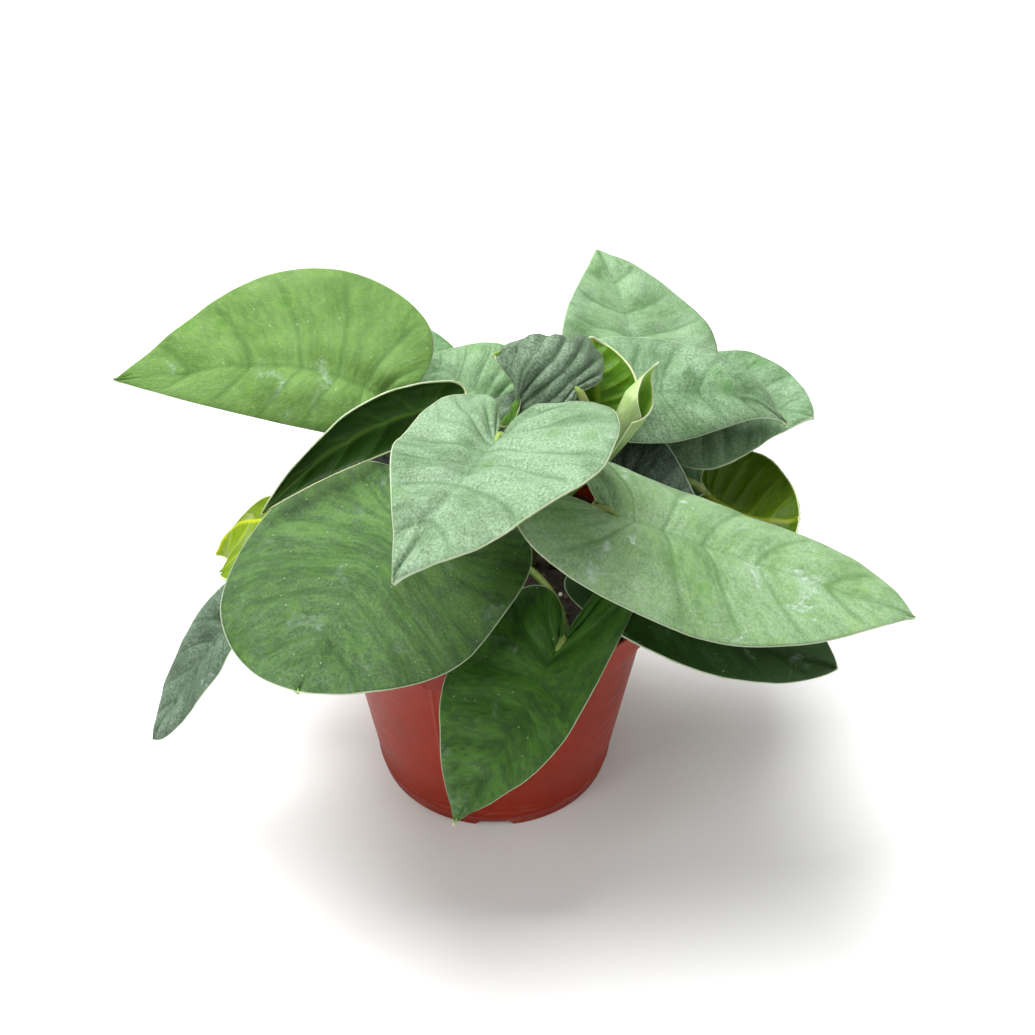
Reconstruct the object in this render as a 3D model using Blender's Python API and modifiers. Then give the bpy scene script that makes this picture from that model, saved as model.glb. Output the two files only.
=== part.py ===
"""A potted pothos: broad satin leaves on a few short vines, in a thin round nursery pot.

Metres, +Z up, the front towards -Y. The origin is on the pot's axis, on the plane that the foot stands on.
Leaf and vine places are given in millimetres, because that is how a leaf is measured.
"""

import math

import bmesh
import bpy
from mathutils import Vector

MM = 0.001
GAP = 0.3 * MM

# Pot
POT_HEIGHT = 90 * MM
RIM_RADIUS = 60 * MM
COLLAR_RADIUS = 59 * MM
COLLAR_HEIGHT = 10.5 * MM
SHOULDER_RADIUS = 54 * MM
FOOT_RADIUS = 41.4 * MM
FOOT_WIDTH = 2.4 * MM
WALL = 1.1 * MM
FLOOR_HEIGHT = 3 * MM
POT_STEPS = 64
NOTCH_COUNT = 4
NOTCH_LENGTH = 12 * MM
NOTCH_HEIGHT = 2 * MM
DRAIN_COUNT = 4
DRAIN_RADIUS = 4 * MM
DRAIN_CIRCLE = 27 * MM

# Soil
SOIL_TOP = 80 * MM

# Leaves and stems
BLADE_THICKNESS = 0.8 * MM
BLADE_ROWS = 12
BLADE_COLUMNS = 6
STALK_RADIUS = 1.5 * MM
STALK_END_RADIUS = 1.0 * MM
STALK_POINTS = 9
VINE_RADIUS = 2.4 * MM

# Each vine is a short stem that climbs from the soil: points in millimetres.
VINES = {
    "left": ((-16, 2, 80.6), (-20, 4, 94), (-25, 6, 108), (-27, 7, 120)),
    "centre": ((2, -6, 80.6), (2, -4, 98), (0, 0, 114), (-2, 6, 128)),
    "front": ((32, -22, 80.6), (32, -24, 84), (31, -25, 88)),
    "middle": ((12, 8, 80.6), (17, 7, 98), (22, 6, 114), (25, 6, 128)),
    "right": ((28, 12, 80.6), (34, 16, 94), (40, 18, 108), (46, 20, 118)),
    "back": ((-4, 26, 80.6), (-4, 29, 90), (-1, 32, 98)),
}

# Each leaf: where the blade meets its stalk, its tip, its width, and how it lies (millimetres, degrees).
# "vine" and "node" say which vine carries it, and how far up that vine.
LEAVES = {
    "left_high": dict(vine="left", node=0.98, base=(-34, 15, 141), tip=(-127, 32, 138), width=57, roll=-31,
                      bow=6, sway=6, curl_left=-32, lobe=0.6, skew=0.29, crest=-0.7),
    "left_folded": dict(vine="left", node=0.5, base=(-14, 11, 142), tip=(-73, -20, 121), width=19, roll=120,
                        bow=-3, sway=-7, fold=-8, curl_left=-50, lobe=0.8, full=0.3),
    "front_high": dict(vine="centre", node=0.7, base=(1, -25, 156), tip=(-28, -83, 147), width=63, roll=2,
                       bow=8, sway=-4, fold=11, lobe=2.8, skew=-0.24, crest=0.4),
    "front_left": dict(vine="centre", node=0.4, base=(-21, -34, 130), tip=(-56, -86, 109), width=89, roll=-5,
                       bow=1, sway=5, fold=-14, lobe=2.3, skew=0.1, full=1.3, lop=-0.35),
    "front_low": dict(vine="centre", node=0.1, base=(20, -57, 101), tip=(-13, -81, 46), width=42, roll=-37,
                      bow=11, fold=-10, lobe=3.4, skew=0.24, crest=-0.1, lop=-0.5),
    "right_low": dict(vine="middle", node=0.25, base=(35, -38, 138), tip=(126, -54, 109), width=69, roll=5,
                      bow=-4, sway=-3, fold=7, curl_left=-54, curl_right=-28, lobe=2.5, full=0.5, crest=-0.3, lop=0.3),
    "right_under": dict(vine="front", node=0.9, base=(34, -26, 102), tip=(110, -40, 74), width=49, roll=30,
                        bow=6, sway=4, fold=21, lobe=1.1, skew=-0.19, full=0.6, crest=-0.1),
    "top": dict(vine="middle", node=0.98, base=(48, 39, 131), tip=(36, 87, 157), width=60, roll=16, bow=3,
                sway=2, fold=3, lobe=1.2, skew=0.1, crest=-0.1),
    "right_high": dict(vine="right", node=0.8, base=(33, 20, 142), tip=(98, 23, 126), width=47, roll=15, bow=6,
                       sway=-2, fold=-4, curl_left=-6, curl_right=-31, lobe=1.4, skew=-0.2, crest=1),
    "right_outer": dict(vine="right", node=0.98, base=(65, 47, 121), tip=(107, 29, 125), width=66, roll=6,
                        bow=-1, sway=-3, fold=-4, lobe=1.1, skew=0.04, full=0.3, crest=0.4),
    "right_turned": dict(vine="right", node=0.3, base=(70, 14, 103), tip=(102, 4, 100), width=61, roll=195,
                         bow=5, sway=-1, fold=7, full=1.3),
    "right_small": dict(vine="middle", node=0.4, base=(38, 2, 120), tip=(66, -6, 115), width=36, roll=30),
    "centre_turned": dict(vine="middle", node=1, base=(33, 7, 139), tip=(31, 26, 157), width=27, roll=180,
                          bow=-1, full=1),
    "centre_cupped": dict(vine="right", node=0.5, base=(26, -7, 159), tip=(-1, 10, 161), width=56, roll=-24,
                          bow=8, sway=3, fold=-22, curl_left=-50, curl_right=-45, lobe=0.7, full=0.5, crest=0.1),
    "centre_back": dict(vine="back", node=0.98, base=(2, 28, 130), tip=(-27, 47, 137), width=41, roll=-18, bow=2),
    "left_turned": dict(vine="left", node=0.6, base=(-63, -15, 111), tip=(-90, -11, 97), width=46, roll=187,
                        bow=-6, sway=-3, fold=7, skew=0.2, full=1.3, crest=0.5),
    "left_narrow": dict(vine="left", node=0.3, base=(-79, -28, 95), tip=(-112, -47, 49), width=22, roll=-6,
                        bow=2, fold=2, lobe=0.9, full=1.3),
    "centre_rolled": dict(vine="centre", node=0.97, base=(25, -4, 149), tip=(-9, 7, 143), width=28, roll=-25,
                          bow=3, fold=-20, curl_left=-60, curl_right=-60, lobe=0.6, full=0.8),
    "inner": dict(vine="centre", node=0.7, base=(-26, -2, 131), tip=(-53, -6, 122), width=26, roll=-10),
    "back_left_high": dict(vine="left", node=0.9, base=(-22, 40, 131), tip=(-74, 73, 125), width=50, bow=6),
    "back_low": dict(vine="back", node=0.5, base=(-4, 44, 102), tip=(-14, 86, 56), width=50, bow=12),
    "back_right": dict(vine="back", node=0.9, base=(22, 38, 118), tip=(48, 82, 86), width=52, bow=10),
    "back_side": dict(vine="right", node=0.4, base=(53, 32, 95), tip=(107, 49, 65), width=46, bow=8),
    "back_left": dict(vine="left", node=0.2, base=(-40, 22, 104), tip=(-84, 48, 66), width=50, bow=8),
}

# The young leaf is still rolled into a spear: its foot, its tip and its greatest radius in millimetres.
SPEAR_FOOT = (34, -3, 128)
SPEAR_TIP = (51, 5, 161)
SPEAR_RADIUS = 4.8
SPEAR_TURN = 300
SPEAR_ROWS = 10
SPEAR_COLUMNS = 14


def clear_scene():
    for old in list(bpy.data.objects):
        bpy.data.objects.remove(old, do_unlink=True)


def new_collection(name):
    collection = bpy.data.collections.new(name)
    bpy.context.scene.collection.children.link(collection)
    return collection


def make_material(name, colour, roughness):
    material = bpy.data.materials.new(name)
    material.use_nodes = True
    shader = material.node_tree.nodes["Principled BSDF"]
    shader.inputs["Base Color"].default_value = (*colour, 1)
    shader.inputs["Roughness"].default_value = roughness
    shader.inputs["Metallic"].default_value = 0
    return material


def add_object(name, data, collection, material=None):
    thing = bpy.data.objects.new(name, data)
    collection.objects.link(thing)
    if material:
        data.materials.append(material)
    return thing


# ---------------------------------------------------------------- pot and soil

def turned(name, profile, collection, material):
    """A solid of revolution: the profile starts and ends on the axis, and runs down its outer side."""
    mesh = bpy.data.meshes.new(name)
    points = [(radius, 0, height) for radius, height in profile]
    mesh.from_pydata(points, [(i, i + 1) for i in range(len(points) - 1)], [])
    thing = add_object(name, mesh, collection, material)
    screw = thing.modifiers.new("Turn", "SCREW")
    screw.steps = POT_STEPS
    screw.render_steps = POT_STEPS
    screw.use_merge_vertices = True
    screw.merge_threshold = 0.00001
    return thing


def wall_radius(height):
    """The outer radius of the tapered wall below the collar."""
    along = height / (POT_HEIGHT - COLLAR_HEIGHT)
    return FOOT_RADIUS + (SHOULDER_RADIUS - FOOT_RADIUS) * along


def make_pot(parts, cutters, material):
    collar_foot = POT_HEIGHT - COLLAR_HEIGHT
    floor_top = FLOOR_HEIGHT + WALL
    profile = (
        (0, floor_top),
        (wall_radius(floor_top) - WALL, floor_top),
        (SHOULDER_RADIUS - WALL, collar_foot - 0.2 * MM),
        (SHOULDER_RADIUS - WALL, collar_foot + WALL),
        (COLLAR_RADIUS - WALL, collar_foot + WALL + 0.6 * MM),
        (RIM_RADIUS - WALL, POT_HEIGHT),
        (RIM_RADIUS, POT_HEIGHT),
        (RIM_RADIUS - 0.1 * MM, POT_HEIGHT - 1.2 * MM),
        (COLLAR_RADIUS, collar_foot + 0.6 * MM),
        (COLLAR_RADIUS - 0.6 * MM, collar_foot),
        (SHOULDER_RADIUS, collar_foot - 0.6 * MM),
        (wall_radius(5.4 * MM), 5.4 * MM),
        (wall_radius(5 * MM) + 0.3 * MM, 5 * MM),
        (FOOT_RADIUS, 0),
        (FOOT_RADIUS - FOOT_WIDTH, 0),
        (FOOT_RADIUS - FOOT_WIDTH, FLOOR_HEIGHT),
        (0, FLOOR_HEIGHT),
    )
    pot = turned("pot", profile, parts, material)
    cut(pot, [make_notch(i, cutters) for i in range(NOTCH_COUNT)])
    cut(pot, [make_drain(i, cutters) for i in range(DRAIN_COUNT)])
    return pot


def make_notch(index, cutters):
    """A cutter for one foot notch: a low block whose top is shorter than its bottom."""
    mesh = bpy.data.meshes.new("notch_cutter")
    shape = bmesh.new()
    bmesh.ops.create_cube(shape, size=1)
    for vert in shape.verts:
        top = vert.co.z > 0
        length = NOTCH_LENGTH - 3 * MM if top else NOTCH_LENGTH + 3 * MM
        vert.co = (vert.co.x * 4 * FOOT_WIDTH, vert.co.y * length, NOTCH_HEIGHT if top else -NOTCH_HEIGHT)
    shape.to_mesh(mesh)
    shape.free()
    cutter = add_object("notch_cutter_%d" % index, mesh, cutters)
    turn = math.tau * index / NOTCH_COUNT - math.pi / 2
    centre = FOOT_RADIUS - FOOT_WIDTH / 2
    cutter.location = (centre * math.cos(turn), centre * math.sin(turn), 0)
    cutter.rotation_euler = (0, 0, turn)
    return cutter


def make_drain(index, cutters):
    mesh = bpy.data.meshes.new("drain_cutter")
    shape = bmesh.new()
    bmesh.ops.create_cone(shape, cap_ends=True, segments=20, radius1=DRAIN_RADIUS, radius2=DRAIN_RADIUS,
                          depth=6 * WALL)
    shape.to_mesh(mesh)
    shape.free()
    cutter = add_object("drain_cutter_%d" % index, mesh, cutters)
    turn = math.tau * (index + 0.5) / DRAIN_COUNT
    cutter.location = (DRAIN_CIRCLE * math.cos(turn), DRAIN_CIRCLE * math.sin(turn), FLOOR_HEIGHT + WALL / 2)
    return cutter


def cut(thing, cutters):
    for cutter in cutters:
        cutter.hide_render = True
        cutter.display_type = "WIRE"
        boolean = thing.modifiers.new("Cut", "BOOLEAN")
        boolean.operation = "DIFFERENCE"
        boolean.solver = "EXACT"
        boolean.object = cutter


def make_soil(parts, material):
    """The ball of soil: a cone that fills the pot, a hair clear of its wall and floor."""
    bottom = FLOOR_HEIGHT + WALL + GAP
    top = min(SOIL_TOP, POT_HEIGHT - COLLAR_HEIGHT)
    side_gap = WALL + 2 * GAP
    mesh = bpy.data.meshes.new("soil")
    shape = bmesh.new()
    bmesh.ops.create_cone(shape, cap_ends=True, segments=POT_STEPS, depth=top - bottom,
                          radius1=wall_radius(bottom) - side_gap, radius2=wall_radius(top) - side_gap)
    bmesh.ops.translate(shape, verts=shape.verts, vec=(0, 0, (top + bottom) / 2))
    shape.to_mesh(mesh)
    shape.free()
    return add_object("soil", mesh, parts, material)


# ---------------------------------------------------------------- leaves

def bezier(points, t):
    """The point at t on the Bezier curve of these control points."""
    points = [Vector(point) for point in points]
    while len(points) > 1:
        points = [a.lerp(b, t) for a, b in zip(points, points[1:])]
    return points[0]


def blade_edge(t, lobe, full):
    """Half of a heart-shaped outline: (along, across) in lengths and widths, from the notch to the tip."""
    widest = 0.27 + 0.06 * full
    share = 0.42
    if t < share:
        return bezier(((0, 0), (-0.13 * lobe, 0.10), (-0.17 * lobe, 0.5), (widest, 0.5)), t / share)
    shoulder = widest + 0.27 + 0.04 * full
    near_tip = (0.82 + 0.10 * full, 0.16 + 0.10 * full)
    return bezier(((widest, 0.5), (shoulder, 0.5), near_tip, (1, 0)), (t - share) / (1 - share))


class Blade:
    """A leaf blade's curved surface: an arched midrib, and halves that fold and curl about it."""

    def __init__(self, base, tip, width, roll=0, bow=0, sway=0, fold=0, curl_left=0, curl_right=0,
                 lobe=1, skew=0, full=0, crest=0, lop=0):
        self.base = Vector(base) * MM
        self.reach = Vector(tip) * MM - self.base
        self.width = width * MM
        self.bow = bow * MM
        self.sway = sway * MM
        self.fold = math.radians(fold)
        self.curl = {-1: math.radians(curl_left), 1: math.radians(curl_right)}
        self.lobe = lobe
        self.skew = skew
        self.full = full
        self.crest = crest
        self.lop = lop
        along = self.reach.normalized()
        up = (Vector((0, 0, 1)) - along * along.z).normalized()
        roll = math.radians(roll)
        self.facing = up * math.cos(roll) + along.cross(up) * math.sin(roll)
        self.across = along.cross(self.facing)

    def midrib(self, x):
        """A point on the midrib, and the unit vectors along it, across it and out of the upper side."""
        inside = min(max(x, 0), 1)
        arch = self.facing * self.bow + self.across * self.sway
        lean = 1 + self.crest * (2 * inside - 1)
        slope = self.reach + arch * 4 * ((1 - 2 * inside) * lean + 2 * self.crest * inside * (1 - inside))
        point = self.base + self.reach * inside + arch * 4 * inside * (1 - inside) * lean
        point += slope * (x - inside)
        along = slope.normalized()
        across = along.cross(self.facing).normalized()
        return point, along, across, across.cross(along)

    def point(self, t, s):
        """The surface at t (0 at the notch, 1 at the tip) and s (-1 left margin, 0 midrib, 1 right margin)."""
        side = 1 if s > 0 else -1
        edge = blade_edge(t, self.lobe * (1 + side * self.lop), self.full)
        start = t * t
        control = (start + 0.35 * (edge.x - start), 0.62 * edge.y)
        flat = bezier(((start, 0), control, edge), abs(s))
        out = flat.y * self.width * (1 + side * self.skew)
        point, along, across, facing = self.midrib(flat.x)
        bend = self.curl[side] / (self.width / 2)
        if abs(bend) > 0.001:
            sideways = (math.sin(self.fold + bend * out) - math.sin(self.fold)) / bend
            upwards = (math.cos(self.fold) - math.cos(self.fold + bend * out)) / bend
        else:
            sideways = out * math.cos(self.fold)
            upwards = out * math.sin(self.fold)
        return point + across * (side * sideways) + facing * upwards


def make_blade(name, blade, parts, material):
    """A flat grid bent into the blade's surface, then given its thickness."""
    mesh = bpy.data.meshes.new(name)
    shape = bmesh.new()
    bmesh.ops.create_grid(shape, x_segments=BLADE_ROWS, y_segments=BLADE_COLUMNS, size=1)
    for vert in shape.verts:
        vert.co = blade.point((vert.co.x + 1) / 2, vert.co.y)
    bmesh.ops.remove_doubles(shape, verts=shape.verts, dist=0.00001)
    bmesh.ops.recalc_face_normals(shape, faces=shape.faces)
    shape.to_mesh(mesh)
    shape.free()
    mesh.shade_smooth()
    leaf = add_object(name, mesh, parts, material)
    solid = leaf.modifiers.new("Thickness", "SOLIDIFY")
    solid.thickness = BLADE_THICKNESS
    solid.offset = 0
    return leaf


def make_spear(parts, material):
    """The rolled young leaf: a grid wrapped into a cone that flares, then slants off to a point."""
    foot = Vector(SPEAR_FOOT) * MM
    reach = Vector(SPEAR_TIP) * MM - foot
    along = reach.normalized()
    across = along.cross(Vector((0, 1, 0))).normalized()
    facing = across.cross(along)
    mesh = bpy.data.meshes.new("leaf_spear")
    shape = bmesh.new()
    bmesh.ops.create_grid(shape, x_segments=SPEAR_ROWS, y_segments=SPEAR_COLUMNS, size=1)
    for vert in shape.verts:
        t = (vert.co.x + 1) / 2
        turn = vert.co.y * math.radians(SPEAR_TURN) / 2
        height = t * (0.62 + 0.38 * math.cos(turn / 2) ** 2)
        radius = SPEAR_RADIUS * MM * (0.25 + 0.75 * math.sin(math.pi * min(height, 0.9) * 0.72))
        radius *= min(1, (1 - height) * 3 + 0.12)
        vert.co = foot + reach * height + (facing * math.cos(turn) - across * math.sin(turn)) * radius
    bmesh.ops.recalc_face_normals(shape, faces=shape.faces)
    shape.to_mesh(mesh)
    shape.free()
    mesh.shade_smooth()
    spear = add_object("leaf_spear", mesh, parts, material)
    solid = spear.modifiers.new("Thickness", "SOLIDIFY")
    solid.thickness = BLADE_THICKNESS
    solid.offset = 0


# ---------------------------------------------------------------- stems

def tube(name, points, radii, parts, material):
    """A round stem through these points, with a radius at each."""
    curve = bpy.data.curves.new(name, "CURVE")
    curve.dimensions = "3D"
    curve.bevel_depth = 1
    curve.bevel_resolution = 2
    curve.use_fill_caps = True
    spline = curve.splines.new("POLY")
    spline.points.add(len(points) - 1)
    for at, point, radius in zip(spline.points, points, radii):
        at.co = (*point, 1)
        at.radius = radius
    return add_object(name, curve, parts, material)


def vine_point(vine, share):
    return bezier([Vector(point) * MM for point in VINES[vine]], share)


def make_vine(name, parts, material):
    points = [vine_point(name, i / 8) for i in range(9)]
    radii = [VINE_RADIUS * (1 - 0.3 * i / 8) for i in range(9)]
    return tube("vine_" + name, points, radii, parts, material)


def stalk_path(blade, vine, node):
    """From beside the vine, up and over, to just below and behind the blade's notch."""
    joint = vine_point(vine, node)
    _, along, _, facing = blade.midrib(0)
    end = blade.base - along * 1.2 * MM - facing * (BLADE_THICKNESS / 2 + STALK_END_RADIUS + GAP)
    outward = Vector((end.x - joint.x, end.y - joint.y, 0)).normalized()
    start = joint + outward * (VINE_RADIUS + STALK_RADIUS + 2 * GAP)
    distance = (end - start).length
    lift = Vector((0, 0, 1)) * 0.4 * distance
    arrive = (along + facing * 0.5).normalized() * 0.35 * distance
    controls = (start, start + lift, end - arrive, end)
    return [bezier(controls, i / (STALK_POINTS - 1)) for i in range(STALK_POINTS)]


def make_stalk(name, blade, vine, node, parts, material):
    points = stalk_path(blade, vine, node)
    last = len(points) - 1
    radii = [STALK_RADIUS + (STALK_END_RADIUS - STALK_RADIUS) * i / last for i in range(len(points))]
    return tube(name, points, radii, parts, material)


def main():
    clear_scene()
    parts = new_collection("potted_pothos")
    cutters = new_collection("cutters")
    terracotta = make_material("terracotta_plastic", (0.27, 0.045, 0.022), 0.45)
    earth = make_material("peat_soil", (0.02, 0.014, 0.01), 0.95)
    leaf_green = make_material("leaf_green", (0.09, 0.19, 0.07), 0.45)
    stalk_green = make_material("stalk_green", (0.24, 0.34, 0.08), 0.4)
    vine_green = make_material("vine_green", (0.2, 0.24, 0.07), 0.6)
    make_pot(parts, cutters, terracotta)
    make_soil(parts, earth)
    for name in VINES:
        make_vine(name, parts, vine_green)
    for name, leaf in LEAVES.items():
        shape = {key: value for key, value in leaf.items() if key not in ("vine", "node")}
        blade = Blade(**shape)
        make_blade("leaf_" + name, blade, parts, leaf_green)
        make_stalk("stalk_" + name, blade, leaf["vine"], leaf["node"], parts, stalk_green)
    make_spear(parts, leaf_green)


main()
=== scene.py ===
import math
import random

import bmesh
import bpy
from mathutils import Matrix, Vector, noise


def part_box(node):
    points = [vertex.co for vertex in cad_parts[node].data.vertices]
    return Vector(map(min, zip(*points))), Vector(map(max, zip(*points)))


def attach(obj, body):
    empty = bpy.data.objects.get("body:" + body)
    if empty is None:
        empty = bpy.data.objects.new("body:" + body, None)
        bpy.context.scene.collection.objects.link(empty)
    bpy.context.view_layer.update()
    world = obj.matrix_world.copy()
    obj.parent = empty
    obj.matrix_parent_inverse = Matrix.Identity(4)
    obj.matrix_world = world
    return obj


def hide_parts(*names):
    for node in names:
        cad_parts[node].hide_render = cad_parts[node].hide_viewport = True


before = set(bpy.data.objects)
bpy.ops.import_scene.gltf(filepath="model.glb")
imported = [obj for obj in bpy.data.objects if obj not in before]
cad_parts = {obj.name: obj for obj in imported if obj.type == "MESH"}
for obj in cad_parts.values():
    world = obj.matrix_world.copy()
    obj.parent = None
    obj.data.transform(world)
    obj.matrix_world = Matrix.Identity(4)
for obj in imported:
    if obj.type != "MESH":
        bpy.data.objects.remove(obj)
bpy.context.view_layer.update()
MM = 0.001

# Pot: a thin nursery pot, moulded in one piece from terracotta-coloured plastic. A deep collar stiffens the
# rim, and the foot ring has notches that let drained water run out.
pot_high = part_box("pot")[1]
RIM_RADIUS = pot_high.x
POT_HEIGHT = pot_high.z
COLLAR_FOOT = POT_HEIGHT - 10.5 * MM
COLLAR_RADIUS = RIM_RADIUS - 1 * MM
SHOULDER_RADIUS = RIM_RADIUS - 6 * MM
FOOT_RADIUS = RIM_RADIUS - 18.6 * MM
FOOT_WIDTH = 2.4 * MM
POT_WALL = 1.1 * MM
POT_FLOOR = 3 * MM
NOTCHES = 4
NOTCH_LENGTH = 12 * MM
NOTCH_HEIGHT = 2 * MM
NOTCH_SLOPE = 1.6 * MM
FOOT_BEVEL = 0.25 * MM
BEAD_PROUD = 0.28 * MM
FLOOR_RING = 30 * MM
LIP_RADIUS = 0.55 * MM
POT_EDGES = 180
SEAM_TURNS = (math.radians(-112), math.radians(68))
SEAM_HALF_ANGLE = math.radians(0.3)
SEAM_PROUD = 0.16 * MM
DRAIN_HOLES = 4
DRAIN_CIRCLE = 27 * MM
DRAIN_RADIUS = 4 * MM


def srgb(red, green, blue):
    """A colour given as on a paint card, 0 to 255, as the shader wants it."""
    def linear(value):
        value /= 255
        return value / 12.92 if value <= 0.04045 else ((value + 0.055) / 1.055) ** 2.4
    return linear(red), linear(green), linear(blue), 1


def new_material(name):
    """A material with its node tree, its shader and a short way to add nodes to it."""
    material = bpy.data.materials.new(name)
    material.use_nodes = True
    tree = material.node_tree
    shader = tree.nodes["Principled BSDF"]

    def add(kind, inputs=None, **settings):
        made = tree.nodes.new("ShaderNode" + kind)
        for key, value in settings.items():
            setattr(made, key, value)
        for key, value in (inputs or {}).items():
            if isinstance(value, bpy.types.NodeSocket):
                tree.links.new(value, made.inputs[key])
            else:
                made.inputs[key].default_value = value
        return made
    return material, shader, add


def connect(shader, **sockets):
    """Plugs sockets into the shader by its input names, with _ for a space."""
    for key, socket in sockets.items():
        shader.id_data.links.new(socket, shader.inputs[key.replace("_", " ")])


def blend_colour(add, factor, below, above):
    """Colour above over colour below, by a factor socket or number."""
    mix = add("Mix", data_type="RGBA")
    tree = mix.id_data
    for index, value in ((0, factor), (6, below), (7, above)):
        if isinstance(value, bpy.types.NodeSocket):
            tree.links.new(value, mix.inputs[index])
        else:
            mix.inputs[index].default_value = value
    return mix.outputs[2]


def remap(add, value, low, high, to_low=0.0, to_high=1.0):
    """A smooth step of a value between two limits."""
    limits = {"From Min": low, "From Max": high, "To Min": to_low, "To Max": to_high}
    step = add("MapRange", {"Value": value, **limits}, interpolation_type="SMOOTHSTEP")
    return step.outputs["Result"]


def calculate(add, operation, first, second=0.0):
    """One sum of two sockets or numbers."""
    return add("Math", {0: first, 1: second}, operation=operation).outputs[0]


def times(add, first, second):
    return calculate(add, "MULTIPLY", first, second)


def plus(add, first, second):
    return calculate(add, "ADD", first, second)


def grain(add, place, scale, detail, roughness=0.5, distortion=0.0):
    """Soft random grain over the given place: about 0.3 to 0.7, seldom more."""
    looks = {"Scale": scale, "Detail": detail, "Roughness": roughness, "Distortion": distortion}
    return add("TexNoise", {"Vector": place, **looks}).outputs["Fac"]


def stretched(add, place, factors):
    """The place scaled by a factor for each axis, so that a grain on it is drawn out."""
    return add("VectorMath", {0: place, 1: factors}, operation="MULTIPLY").outputs[0]


def tint(add, body, mask, strength, colour):
    """The body colour with another laid over it where the mask says."""
    return blend_colour(add, times(add, mask, strength), body, colour)


def bumped(add, height, strength, distance):
    return add("Bump", {"Height": height, "Strength": strength, "Distance": distance}).outputs["Normal"]


def finished_mesh(name, shape):
    """The smooth mesh of a shape that is ready."""
    mesh = bpy.data.meshes.new(name)
    shape.to_mesh(mesh)
    shape.free()
    mesh.shade_smooth()
    return mesh


def add_piece(name, mesh, materials):
    """An object of the plant in its pot, riding on the one body."""
    piece = bpy.data.objects.new(name, mesh)
    bpy.context.scene.collection.objects.link(piece)
    for material in materials:
        mesh.materials.append(material)
    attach(piece, "root")
    return piece


def wall_radius(height):
    """The tapered wall's outer radius below the collar."""
    return FOOT_RADIUS + (SHOULDER_RADIUS - FOOT_RADIUS) * height / COLLAR_FOOT


def notch_rise(turn):
    """How far the foot's edge is lifted at this angle: full in a notch, sloping at its ends."""
    apart = math.tau / NOTCHES
    off = (turn + math.pi / 2 + apart / 2) % apart - apart / 2
    reach = abs(off) * FOOT_RADIUS
    return NOTCH_HEIGHT * min(1, max(0, (NOTCH_LENGTH / 2 + NOTCH_SLOPE / 2 - reach) / NOTCH_SLOPE))


def pot_turns():
    """The angles of the pot's upright edges: even, with extra ones at the mould seams and notch ends."""
    turns = [math.tau * i / POT_EDGES for i in range(POT_EDGES)]
    for seam in SEAM_TURNS:
        turns += [seam + math.radians(off) for off in (-0.45, -0.2, 0.2, 0.45)]
    for i in range(NOTCHES):
        centre = math.tau * i / NOTCHES - math.pi / 2
        for off in (NOTCH_LENGTH / 2 + NOTCH_SLOPE / 2, NOTCH_LENGTH / 2 - NOTCH_SLOPE / 2):
            turns += [centre + off / FOOT_RADIUS, centre - off / FOOT_RADIUS]
    return sorted(turn % math.tau for turn in turns)


def seam_height(turn):
    """How far the wall stands proud at this angle: only on a mould seam."""
    apart = min(abs((turn - seam + math.pi) % math.tau - math.pi) for seam in SEAM_TURNS)
    return SEAM_PROUD if apart < SEAM_HALF_ANGLE else 0


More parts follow.
